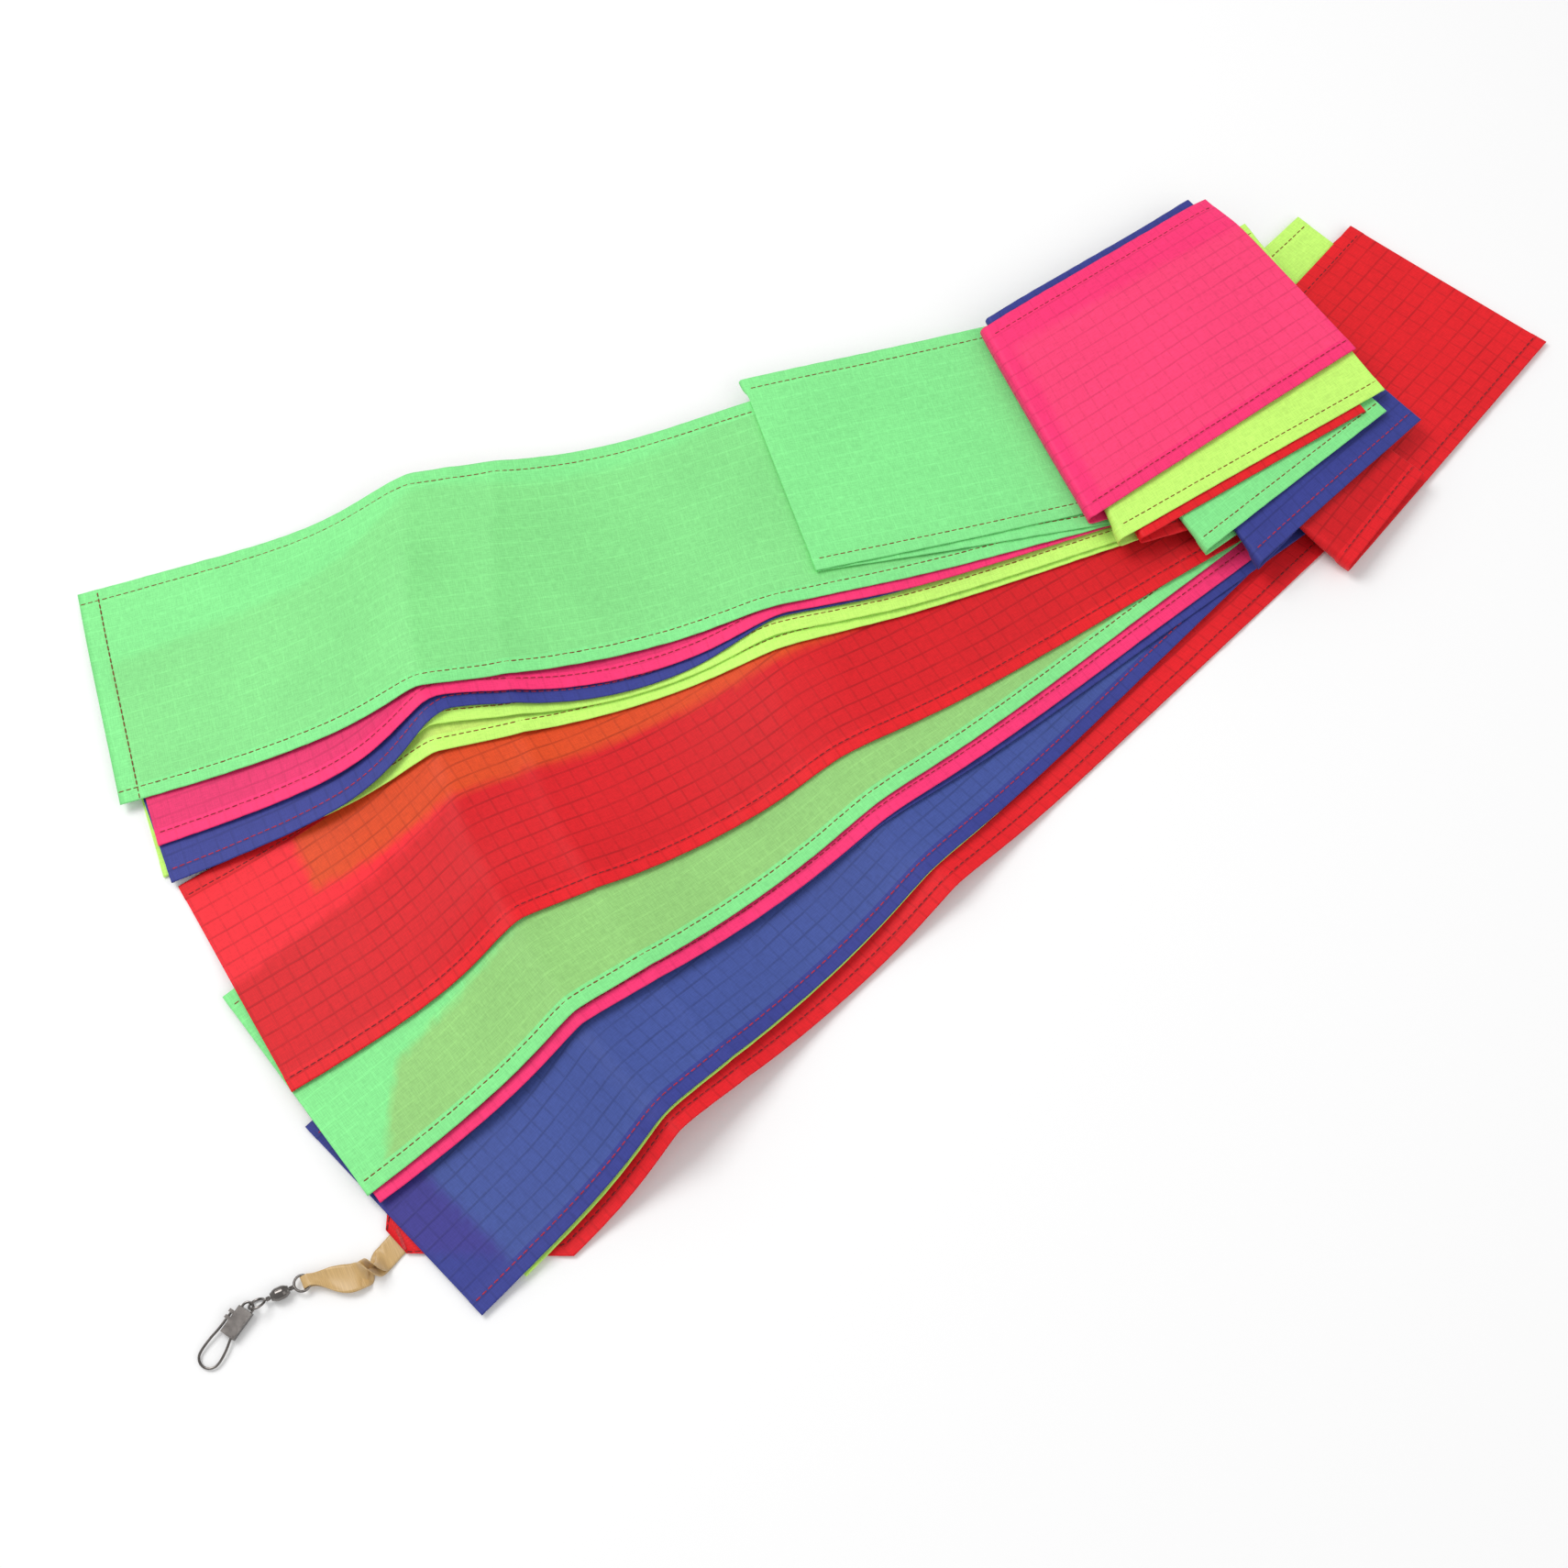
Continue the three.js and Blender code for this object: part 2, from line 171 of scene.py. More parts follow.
LOW, HIGH = (np.array(corner) for corner in CAD_BOX)
FIELD_MARGIN = 0.04
FIELD_ORIGIN = LOW[:2] - FIELD_MARGIN
FIELD_SHAPE = tuple(np.ceil((HIGH[:2] - LOW[:2] + 2 * FIELD_MARGIN) / CELL).astype(int) + 1)
heights = np.zeros(FIELD_SHAPE)
# Which cells each run covers, from 0 to 1. The table is under everything.
covered = {"table": np.ones(FIELD_SHAPE)}


def cells(points):
    index = (points[..., :2] - FIELD_ORIGIN) / CELL
    index = np.round(index).astype(int)
    return (
        np.clip(index[..., 0], 0, FIELD_SHAPE[0] - 1),
        np.clip(index[..., 1], 0, FIELD_SHAPE[1] - 1),
    )


def highest_near(points, reach=1):
    """The field's height at each point, and at its neighbours up to reach cells away."""
    column, row = cells(points)
    found = np.zeros(column.shape)
    for dx in range(-reach, reach + 1):
        for dy in range(-reach, reach + 1):
            x = np.clip(column + dx, 0, FIELD_SHAPE[0] - 1)
            y = np.clip(row + dy, 0, FIELD_SHAPE[1] - 1)
            found = np.maximum(found, heights[x, y])
    return found


def refine(grid, factor):
    """A grid of points with factor times as many steps each way, by straight lines."""
    for axis in (0, 1):
        count = grid.shape[axis]
        places = np.linspace(0, count - 1, (count - 1) * factor + 1)
        base = np.minimum(places.astype(int), count - 2)
        share = (places - base).reshape((-1, 1, 1) if axis == 0 else (1, -1, 1))
        grid = np.take(grid, base, axis) * (1 - share) + np.take(grid, base + 1, axis) * share
    return grid


def lay_on_field(grid, name):
    """Raises the field to a run that has been laid, and notes the cells it covers."""
    fine = refine(grid, 4)
    column, row = cells(fine)
    np.maximum.at(heights, (column, row), fine[..., 2])
    mask = np.zeros(FIELD_SHAPE)
    mask[column, row] = 1.0
    for axis in (0, 1):
        mask = (np.roll(mask, 1, axis) + mask + np.roll(mask, -1, axis)) / 3
    covered[name] = mask


def seen_colour(grid, name, colour):
    """The colour of each point of a run: its own cloth, changed where another run shows through."""
    seen = np.empty(grid.shape[:2] + (3,))
    seen[:] = CLOTH[colour]
    for below, changed in SHOWS.get(name, []):
        share = covered[below][cells(grid)][..., None]
        seen = seen * (1 - share) + np.array(changed) * share
    return seen


def relax(obstacle, rounds):
    """Settles a sheet on what is below it: smooth where it hangs free, never lower than it may be."""
    z = obstacle.copy()
    for _ in range(rounds):
        padded = np.pad(z, 1, mode="edge")
        mean = (padded[2:, 1:-1] + padded[:-2, 1:-1] + padded[1:-1, 2:] + padded[1:-1, :-2]) / 4
        z = np.maximum(obstacle, mean)
    return z


# ---- Creases and waves ----

LEAD_TOP_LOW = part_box("lead_top")[0]
# The middle of the bundle, from the near left corner of the lead's top run.
PIVOT_INSET = (0.055, 0.025)
PIVOT = np.array([LEAD_TOP_LOW[0] + PIVOT_INSET[0], LEAD_TOP_LOW[1] + PIVOT_INSET[1]])
# Each ridge is steep on its outer side, away from the bundle, and slopes gently on its inner side.
OUTER_RIDGE = {"radius": 0.366, "height": 0.0170, "outer": 0.022, "inner": 0.050}
INNER_RIDGE = {"radius": 0.222, "height": 0.0080, "outer": 0.024, "inner": 0.034}
# How far a ridge pushes a run back in plan, as a share of the ridge's height.
RIDGE_BULGE = {"navy_high_long": 1.25, "pink_high_long": 0.9, "lime_second_long": 0.75, "red_main_long": 0.45}
USUAL_BULGE = 0.3
CREASE_RADIUS = 0.331


def ridge_height(points, seed):
    """The packing creases that cross the whole fan, as ridges round the middle of the bundle."""
    rng = np.random.default_rng(seed)
    radius = np.hypot(*(points[..., :2] - PIVOT).transpose(2, 0, 1))
    total = np.zeros(radius.shape)
    for ridge in (OUTER_RIDGE, INNER_RIDGE):
        distance = radius - ridge["radius"] - rng.uniform(-0.003, 0.003)
        reach = np.where(distance > 0, ridge["outer"], ridge["inner"])
        gain = rng.uniform(0.88, 1.06)
        total += ridge["height"] * gain * np.exp(-np.abs(distance / reach) ** 1.6)
    return total


WAVE_HEIGHT = 0.0008
WAVE_COUNT = 7
LONG_RUN_WAVES = 0.35
SHORT_RUN_WAVES = 0.12


def soft_waves(points, seed):
    """Slow, shallow waves round a small lift."""
    rng = np.random.default_rng(seed + 100)
    total = np.zeros(points.shape[:2])
    for _ in range(WAVE_COUNT):
        wavelength = rng.uniform(0.045, 0.14)
        turn = rng.uniform(0, math.pi)
        phase = rng.uniform(0, 2 * math.pi)
        along = points[..., 0] * math.cos(turn) + points[..., 1] * math.sin(turn)
        total += np.sin(2 * math.pi * along / wavelength + phase)
    return WAVE_HEIGHT * (total / WAVE_COUNT * 2 + 1)


# ---- Strips ----

def across_columns():
    """Places across the strip from -half to +half: close together at the hems."""
    half = STRIP_WIDTH / 2
    hem = [0, 0.0007, 0.0025, 0.0040, STITCH_INSET, 0.0065, 0.0075]
    count = int(round((STRIP_WIDTH - 2 * (HEM_WIDTH + 0.003)) / GRID_STEP))
    inner = np.linspace(-half + HEM_WIDTH + 0.003, half - HEM_WIDTH - 0.003, count)
    left = [-half + inset for inset in hem]
    right = [half - inset for inset in reversed(hem)]
    return np.array(left + list(inner) + right)


COLUMNS = across_columns()
STITCH_PLACES = [side * (STRIP_WIDTH / 2 - STITCH_INSET) for side in (-1, 1)]
STITCH_COLUMNS = [int(np.argmin(np.abs(COLUMNS - place))) for place in STITCH_PLACES]


def plan_grid(lower, upper, step=GRID_STEP):
    """A grid over a run: stations along it, COLUMNS across it."""
    lengths = np.linalg.norm(np.diff((lower + upper) / 2, axis=0), axis=1)
    stations = []
    for piece, length in enumerate(lengths):
        count = max(2, int(round(length / step)))
        shares = np.linspace(0, 1, count + 1)[(1 if piece else 0):]
        stations += [(piece, share) for share in shares]
    low = np.array([lower[i] * (1 - s) + lower[i + 1] * s for i, s in stations])
    high = np.array([upper[i] * (1 - s) + upper[i + 1] * s for i, s in stations])
    share = (COLUMNS / STRIP_WIDTH + 0.5)[None, :, None]
    return low[:, None, :] * (1 - share) + high[:, None, :] * share


PUCKER_HEIGHT = 0.0005
PUCKER_REACH = 0.009
PUCKER_COUNT = 4


def puckers(grid, seed):
    """Small waves along the hems, where the stitching gathers the cloth."""
    rng = np.random.default_rng(seed + 300)
    steps = np.linalg.norm(np.diff(grid[:, 0], axis=0), axis=1)
    along = np.concatenate([[0], np.cumsum(steps)])
    total = np.zeros(grid.shape[:2])
    for side in (-1, 1):
        edge = np.exp(-((STRIP_WIDTH / 2 - side * COLUMNS) / PUCKER_REACH) ** 2)
        wave = np.zeros(len(along))
        for _ in range(PUCKER_COUNT):
            wave += np.sin(2 * math.pi * along / rng.uniform(0.011, 0.034) + rng.uniform(0, 6.28))
        total += np.abs(wave)[:, None] / PUCKER_COUNT * edge[None, :] * PUCKER_HEIGHT
    return total


FLOOR_GAP = LEVEL_GAP * 0.6
# A sharp line on each packing crease: its radius, height and reach.
SHARP_CREASES = [(CREASE_RADIUS, 0.0009, 0.004), (OUTER_RIDGE["radius"], 0.0008, 0.005)]


def lay_run(grid, seed, ridged, bulge, rounds):
    """Lays one run on the field and returns its points. A ridge also pushes the run back a little."""
    if ridged:
        grid = grid.copy()
        grid[..., 1] += bulge * ridge_height(grid, seed)
    obstacle = np.maximum(highest_near(grid) + LEVEL_GAP, FLOOR_GAP)
    obstacle = obstacle + soft_waves(grid, seed) * (LONG_RUN_WAVES if ridged else SHORT_RUN_WAVES)
    if ridged:
        obstacle = np.maximum(obstacle, ridge_height(grid, seed))
    z = relax(obstacle, rounds) + puckers(grid, seed)
    if ridged:
        radius = np.hypot(*(grid - PIVOT).transpose(2, 0, 1))
        for crease_radius, height, reach in SHARP_CREASES:
            z += height * np.exp(-np.abs(radius - crease_radius) / reach)
    return np.dstack([grid, z])


ROLL_BULGE = 0.75
LIP_STEPS = 5
LIP_DEPTH = 0.00045
LIP_REACH = 0.0009


def roll(lower_row, upper_row, outward, turns=7):
    """The rolled edge that joins a run's last row to the first row of the run over it."""
    rows = []
    for k in range(1, turns):
        angle = math.pi * k / turns
        lift = (1 - math.cos(angle)) / 2
        middle = lower_row * (1 - lift) + upper_row * lift
        radius = np.abs(upper_row[:, 2] - lower_row[:, 2])[:, None] / 2 * ROLL_BULGE
        middle[:, :2] += outward * radius * math.sin(angle)
        rows.append(middle)
    return np.array(rows)


def lip(row, outward):
    """A folded-under edge: the cloth turns down and back a little at the end of a run."""
    rows = []
    for k in range(1, LIP_STEPS + 1):
        angle = math.pi * k / LIP_STEPS
        bent = row.copy()
        bent[:, :2] += outward * (math.sin(angle) * LIP_DEPTH - max(0, k - 3) * LIP_REACH / 2)
        bent[:, 2] -= LIP_DEPTH * (1 - math.cos(angle)) / 2
        rows.append(bent)
    return np.array(rows[::-1])


# ---- Materials ----

def shader(name):
    material = bpy.data.materials.new(name)
    material.use_nodes = True
    tree = material.node_tree
    tree.nodes.clear()
    output = tree.nodes.new("ShaderNodeOutputMaterial")
    principled = tree.nodes.new("ShaderNodeBsdfPrincipled")
    tree.links.new(principled.outputs["BSDF"], output.inputs["Surface"])
    return material, tree, principled


class Tree:
    """Short ways to add nodes to a material."""

    def __init__(self, tree):
        self.tree = tree

    def put(self, socket, value):
        if isinstance(value, bpy.types.NodeSocket):
            self.tree.links.new(value, socket)
        else:
            socket.default_value = value

    def math(self, operation, *values):
        node = self.tree.nodes.new("ShaderNodeMath")
        node.operation = operation
        for socket, value in zip(node.inputs, values):
            self.put(socket, value)
        return node.outputs[0]

    def mix(self, share, first, second):
        node = self.tree.nodes.new("ShaderNodeMix")
        node.data_type = "RGBA"
        self.put(node.inputs["Factor"], share)
        self.put(node.inputs["A"], first)
        self.put(node.inputs["B"], second)
        return node.outputs["Result"]

    def noise(self, vector, scale, detail=2.0):
        node = self.tree.nodes.new("ShaderNodeTexNoise")
        node.inputs["Scale"].default_value = scale
        node.inputs["Detail"].default_value = detail
        self.tree.links.new(vector, node.inputs["Vector"])
        return node.outputs["Fac"]

    def remap(self, value, low, high, to_low=0.0, to_high=1.0):
        node = self.tree.nodes.new("ShaderNodeMapRange")
        node.interpolation_type = "SMOOTHSTEP"
        for socket, setting in zip(node.inputs, (value, low, high, to_low, to_high)):
            self.put(socket, setting)
        return node.outputs["Result"]

    def strip_place(self):
        """The place on a strip, in metres: X along it and Y across it."""
        node = self.tree.nodes.new("ShaderNodeUVMap")
        node.uv_map = "strip"
        return node.outputs["UV"]

    def stretched_noise(self, vector, scale):
        node = self.tree.nodes.new("ShaderNodeMapping")
        node.inputs["Scale"].default_value = scale
        self.tree.links.new(vector, node.inputs["Vector"])
        return self.noise(node.outputs["Vector"], 1.0)

    def bump(self, principled, height, strength, distance):
        node = self.tree.nodes.new("ShaderNodeBump")
        node.inputs["Strength"].default_value = strength
        node.inputs["Distance"].default_value = distance
        self.tree.links.new(height, node.inputs["Height"])
        self.tree.links.new(node.outputs["Normal"], principled.inputs["Normal"])


def solid(colour):
    return (*colour, 1.0)


# How the ripstop lines look against the cloth of each colour: darker below 1, lighter above.
LINE_GAIN = {"green": 1.10, "lime": 1.05, "pink": 0.80, "red": 0.68, "navy": 0.72}
BARE_CLOTH_GAIN = 0.95
# Noise scales of the fine threads that run along and across the cloth.
THREAD_SCALES = ((260.0, 2600.0, 1.0), (2600.0, 260.0, 1.0))


def ripstop_grid(t, place):
    """The square grid of thicker threads, from 0 to 1, a little wobbly and broken."""
    split = t.tree.nodes.new("ShaderNodeSeparateXYZ")
    t.tree.links.new(place, split.inputs[0])
    lines = []
    for axis, strength in ((0, 0.55), (1, 1.0)):
        wobble = t.math("MULTIPLY", t.noise(place, 25.0), 0.0016)
        shifted = t.math("ADD", split.outputs[axis], wobble)
        turn = t.math("FRACT", t.math("DIVIDE", shifted, RIPSTOP_PITCH))
        from_line = t.math("ABSOLUTE", t.math("SUBTRACT", turn, 0.5))
        lines.append(t.math("MULTIPLY", t.remap(from_line, 0.03, 0.09, 1.0, 0.0), strength))
    broken = t.remap(t.noise(place, 45.0), 0.3, 0.7, 0.45, 1.0)
    return t.math("MULTIPLY", t.math("MAXIMUM", *lines), broken)


def cloth_gain(t, place, weave, grid, line_gain):
    """How much lighter or darker each point is than its cloth: weave, patches and ripstop lines."""
    weave_gain = t.remap(weave, 0.72, 1.28, BARE_CLOTH_GAIN - 0.10, BARE_CLOTH_GAIN + 0.08)
    patches = t.remap(t.noise(place, 22.0, 3.0), 0.3, 0.7, 0.965, 1.03)
    lines = t.math("ADD", 1.0, t.math("MULTIPLY", grid, line_gain - 1.0))
    return t.math("MULTIPLY", t.math("MULTIPLY", weave_gain, patches), lines)


def cloth_material(colour):
    """Thin ripstop: a grid of thicker threads, a fine weave, and what lies below showing through."""
    material, tree, principled = shader("ripstop_" + colour)
    t = Tree(tree)
    place = t.strip_place()
    grid = ripstop_grid(t, place)
    threads = [t.stretched_noise(place, scale) for scale in THREAD_SCALES]
    weave = t.math("ADD", *threads)
    seen = tree.nodes.new("ShaderNodeVertexColor")
    seen.layer_name = "seen"
    edge = tree.nodes.new("ShaderNodeAttribute")
    edge.attribute_name = "hem"
    # A hem is doubled cloth, so nothing shows through it and its colour is fuller.
    base = t.mix(t.remap(edge.outputs["Fac"], 0.3, 0.7), seen.outputs["Color"], solid(CLOTH[colour]))
    scaled = tree.nodes.new("ShaderNodeVectorMath")
    scaled.operation = "SCALE"
    tree.links.new(base, scaled.inputs[0])
    tree.links.new(cloth_gain(t, place, weave, grid, LINE_GAIN[colour]), scaled.inputs["Scale"])
    tree.links.new(scaled.outputs[0], principled.inputs["Base Color"])
    principled.inputs["Roughness"].default_value = 0.55
    principled.inputs["Specular IOR Level"].default_value = 0.22
    principled.inputs["Sheen Weight"].default_value = 0.06
    principled.inputs["Sheen Roughness"].default_value = 0.4
    height = t.math("ADD", t.math("MULTIPLY", weave, 0.25), grid)
    t.bump(principled, height, strength=0.35, distance=0.0002)
    return material


def thread_material(name, colour):
    material, tree, principled = shader("thread_" + name)
    t = Tree(tree)
    place = tree.nodes.new("ShaderNodeTexCoord")
    twist = t.remap(t.noise(place.outputs["Object"], 1400.0), 0.35, 0.65)
    mixed = t.mix(twist, solid([c * 0.6 for c in colour]), solid(colour))
    tree.links.new(mixed, principled.inputs["Base Color"])
    principled.inputs["Roughness"].default_value = 0.6
    return material


def satin_material():
    """Gold satin ribbon: fine weft ribs across it and a soft directional shine."""
    material, tree, principled = shader("ribbon_satin")
    t = Tree(tree)
    rib = t.stretched_noise(t.strip_place(), (5200.0, 130.0, 1.0))
    colour = t.mix(t.remap(rib, 0.3, 0.7), (0.50, 0.32, 0.125, 1), (0.62, 0.41, 0.17, 1))
    tree.links.new(colour, principled.inputs["Base Color"])
    principled.inputs["Roughness"].default_value = 0.36
    principled.inputs["Sheen Weight"].default_value = 0.25
    principled.inputs["Anisotropic"].default_value = 0.4
    t.bump(principled, rib, strength=0.15, distance=0.00005)
    return material


def nickel_material():
    """Black nickel: dark polished metal with faint rubbing marks."""
    material, tree, principled = shader("black_nickel")
    t = Tree(tree)
    place = tree.nodes.new("ShaderNodeTexCoord")
    worn = t.noise(place.outputs["Object"], 300.0, 2.0)
    colour = t.mix(t.remap(worn, 0.3, 0.75), (0.145, 0.132, 0.125, 1), (0.19, 0.175, 0.165, 1))
    tree.links.new(colour, principled.inputs["Base Color"])
    principled.inputs["Metallic"].default_value = 1.0
    tree.links.new(t.remap(worn, 0.25, 0.8, 0.20, 0.27), principled.inputs["Roughness"])
    return material


CLOTH_MATERIALS = {colour: cloth_material(colour) for colour in CLOTH}
THREAD_MATERIALS = {colour: thread_material(colour, THREAD[colour]) for colour in THREAD}
TACK_MATERIAL = thread_material("tack", TACK_THREAD)


# ---- Meshes from grids ----

def grid_faces(rows, columns):
    index = np.arange(rows * columns).reshape(rows, columns)
    corners = [index[:-1, :-1], index[1:, :-1], index[1:, 1:], index[:-1, 1:]]
    return np.stack(corners, axis=-1).reshape(-1, 4)


def new_object(name, vertices, faces, material):
    mesh = bpy.data.meshes.new(name)
    mesh.from_pydata(vertices, [], faces)
    mesh.update()
    mesh.polygons.foreach_set("use_smooth", [True] * len(mesh.polygons))
    mesh.materials.append(material)
    piece = bpy.data.objects.new(name, mesh)
    bpy.context.scene.collection.objects.link(piece)
    return piece


def grid_object(name, rows, material):
    """A sheet through rows of points."""
    faces = grid_faces(*rows.shape[:2])
    return new_object(name, rows.reshape(-1, 3).tolist(), faces.tolist(), material)


def add_strip_map(mesh, along, across):
    """Strip coordinates in metres, for the materials."""
    places = np.dstack([
        np.repeat(along[:, None], len(across), 1),
        np.repeat(across[None, :], len(along), 0),
    ])
    uv = mesh.uv_layers.new(name="strip")
    corners = np.empty(len(mesh.loops), dtype=int)
    mesh.loops.foreach_get("vertex_index", corners)
    uv.data.foreach_set("uv", places.reshape(-1, 2)[corners].ravel())


def arc_lengths(points):
    steps = np.linalg.norm(np.diff(points, axis=0), axis=1)
    return np.concatenate([[0], np.cumsum(steps)])


def cloth_object(name, rows, seen, colour, hem_rows=None):
    """A sheet of cloth from rows of points, thicker at its hems, with strip coordinates."""
    count, columns = rows.shape[:2]
    piece = grid_object(name, rows, CLOTH_MATERIALS[colour])
    mesh = piece.data
    add_strip_map(mesh, arc_lengths(rows[:, columns // 2]), COLUMNS)
    paint = mesh.color_attributes.new("seen", "FLOAT_COLOR", "POINT")
    rgba = np.concatenate([seen.reshape(-1, 3), np.ones((count * columns, 1))], axis=1)
    paint.data.foreach_set("color", rgba.ravel())
    hem = np.repeat((np.abs(COLUMNS) > STRIP_WIDTH / 2 - HEM_WIDTH).astype(float)[None, :], count, 0)
    if hem_rows is not None:
        hem = np.maximum(hem, hem_rows[:, None])
    attribute = mesh.attributes.new("hem", "FLOAT", "POINT")
    attribute.data.foreach_set("value", hem.ravel())
    group = piece.vertex_groups.new(name="hem")
    group.add([int(i) for i in np.flatnonzero(hem.ravel() > 0.5)], 1.0, "REPLACE")
    thicken = piece.modifiers.new("thickness", "SOLIDIFY")
    thicken.thickness = HEM_THICKNESS
    thicken.offset = 0
    thicken.vertex_group = "hem"
    thicken.thickness_vertex_group = CLOTH_THICKNESS / HEM_THICKNESS
    thicken.use_even_offset = False
    return piece


def point_along(place, along, points):
    """The point, or normal, at a length along a line of them."""
    return np.array([np.interp(place, along, points[:, k]) for k in range(3)])


def add_stitch(vertices, faces, ends, normal, face):
    """One stitch on one face of the cloth: two rings of four points between two end points."""
    forward = (ends[1] - ends[0]) / max(np.linalg.norm(ends[1] - ends[0]), 1e-9)
    sideways = np.cross(forward, normal)
    lift = normal * face * HEM_THICKNESS * 0.45
    start = len(vertices)
    vertices += [ends[0] + lift * 0.6, ends[1] + lift * 0.6]
    for share in (0.25, 0.75):
        middle = ends[0] * (1 - share) + ends[1] * share + lift
        for up, aside in ((1, 0), (0, 1), (-1, 0), (0, -1)):
            vertices.append(middle + (normal * up * 0.7 + sideways * aside) * STITCH_RADIUS)
    for k in range(4):
        first = start + 2 + k
        second = start + 2 + (k + 1) % 4
        faces.append((start, second, first))
        faces.append((first, second, second + 4, first + 4))
        faces.append((start + 1, first + 4, second + 4))


def stitch_mesh(name, lines, colour):
    """Rows of stitches on both faces of a sheet. Each line is (points, normals)."""
    vertices = []
    faces = []
    for points, normals in lines:
        along = arc_lengths(points)
        for centre in np.arange(STITCH_PITCH / 2, along[-1], STITCH_PITCH):
            ends = [point_along(centre + side * STITCH_LENGTH / 2, along, points) for side in (-1, 1)]
            normal = point_along(centre, along, normals)
            for face in (1, -1):
                add_stitch(vertices, faces, ends, normal, face)
    return new_object(name, np.array(vertices).tolist(), faces, THREAD_MATERIALS[colour])


def grid_normals(rows):
    along = np.gradient(rows, axis=0)
    across = np.gradient(rows, axis=1)
    normals = np.cross(along, across)
    return normals / np.maximum(np.linalg.norm(normals, axis=2, keepdims=True), 1e-12)


# ---- The strips, from the table up ----

LONG_RUNS = [
    ("lime_low_long", "lime"), ("navy_main_long", "navy"), ("navy_second_long", "navy"),
    ("pink_low_long", "pink"), ("green_low_long", "green"), ("lime_inner_long", "lime"),
    ("red_main_long", "red"), ("lime_first_long", "lime"), ("lime_second_long", "lime"),
    ("navy_high_long", "navy"), ("pink_high_long", "pink"),
]
# A strip that turns in the bundle: its long run, its return run, its top run and its colour.
BUNDLE_STRIPS = {
    "pink_high": ("pink_high_long", "pink_return", "pink_top", "pink"),
    "navy_high": ("navy_high_long", "navy_high_return", "navy_high_top", "navy"),
    "lime_first": ("lime_first_long", "lime_return", "lime_top", "lime"),
    "red_main": ("red_main_long", "red_inner_return", "red_inner_top", "red"),
    "green_low": ("green_low_long", "green_return", "green_top_run", "green"),
    "navy_main": ("navy_main_long", "navy_low_return", "navy_low_top", "navy"),
    "lead": ("lead_long", "lead_return", "lead_top", "red"),
}
RETURN_ORDER = [
    "pink_high", "navy_high", "lime_first", "red_main", "green_low", "navy_main", "lime_low", "lead",
]
TOP_ORDER = ["lead", "navy_main", "green_low", "red_main", "lime_first", "navy_high", "pink_high"]

edges = {}
for node_name in NODES:
    if node_name.endswith(("_long", "_return", "_top", "_run", "_end", "_fixed", "_under", "_upper")):
        if node_name != "lead_long":
            edges[node_name] = node_run(node_name)


def left_edge(name):
    lower, upper = edges[name]
    return lower[0], upper[0]


def right_edge(name):
    lower, upper = edges[name]
    return lower[1], upper[1]


def between(left, right):
    """Lower and upper hem points of a run between two edges."""
    return np.array([left[0], right[0]]), np.array([left[1], right[1]])


laid = {}
seed = 1
TACK_LOW, TACK_HIGH = (np.array(corner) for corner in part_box("ribbon_tack"))
TACK = (TACK_LOW + TACK_HIGH) / 2
TIP_LIFT = 0.0007
TIP_LIFT_REACH = 0.014
# Rounds of settling: the top runs lie smoother than the rest, and the limp pink one sags.
USUAL_ROUNDS = 90
TOP_ROUNDS = 320
LIMP_ROUNDS = 25


def tip_lift(rows):
    """The lead tip lies on the ribbon that is sewn under it."""
    distance = np.hypot(rows[..., 0] - TACK[0], rows[..., 1] - TACK[1])
    return TIP_LIFT * np.exp(-(distance / TIP_LIFT_REACH) ** 2)


def lay(name, lower, upper, colour, ridged=False, rounds=USUAL_ROUNDS):
    global seed
    grid = plan_grid(lower, upper)
    rows = lay_run(grid, seed, ridged, RIDGE_BULGE.get(name, USUAL_BULGE), rounds)
    if name == "lead_long":
        rows[..., 2] += tip_lift(rows)
    laid[name] = (rows, seen_colour(rows, name, colour))
    lay_on_field(rows, name)
    seed += 1


lead_lower, lead_upper = lead_run()
lead_lower[2], lead_upper[2] = right_edge("lead_return")
lay("lead_long", lead_lower, lead_upper, "red", ridged=True)
for run_name, run_colour in LONG_RUNS:
    lay(run_name, *between(left_edge(run_name), right_edge(run_name)), run_colour, ridged=True)
green_turn = right_edge("green_top_fixed")
lay("green_top_long", *between(left_edge("green_free_end"), green_turn), "green", ridged=True)
lay("green_flap_under", *between(left_edge("green_flap_upper"), green_turn), "green")
lay("green_flap_upper", *between(left_edge("green_flap_upper"), right_edge("green_flap_upper")), "green")
for strip in RETURN_ORDER:
    if strip == "lime_low":
        lay("lime_low_return", *between(left_edge("lime_low_return"), right_edge("lime_low_long")), "lime")
        continue
    long_name, return_name, top_name, strip_colour = BUNDLE_STRIPS[strip]
    turn = right_edge("lead_return") if strip == "lead" else right_edge(long_name)
    lay(return_name, *between(left_edge(top_name), turn), strip_colour)
for strip in TOP_ORDER:
    top_name = BUNDLE_STRIPS[strip][2]
    # The pink run on top sags with the navy run under it.
    settle = LIMP_ROUNDS if top_name == "pink_top" else TOP_ROUNDS
    lay(top_name, *between(left_edge(top_name), right_edge(top_name)), BUNDLE_STRIPS[strip][3], rounds=settle)


# ---- Cloth pieces ----

# How many rows in from the end of a run its direction is taken.
HEADING_ROWS = 12


def outward(rows, end):
    """The plan direction that points out of a run at its left (0) or right (-1) end."""
    inner = rows[HEADING_ROWS if end == 0 else -HEADING_ROWS - 1].mean(axis=0)[:2]
    out = rows[end].mean(axis=0)[:2] - inner
    return out / np.linalg.norm(out)


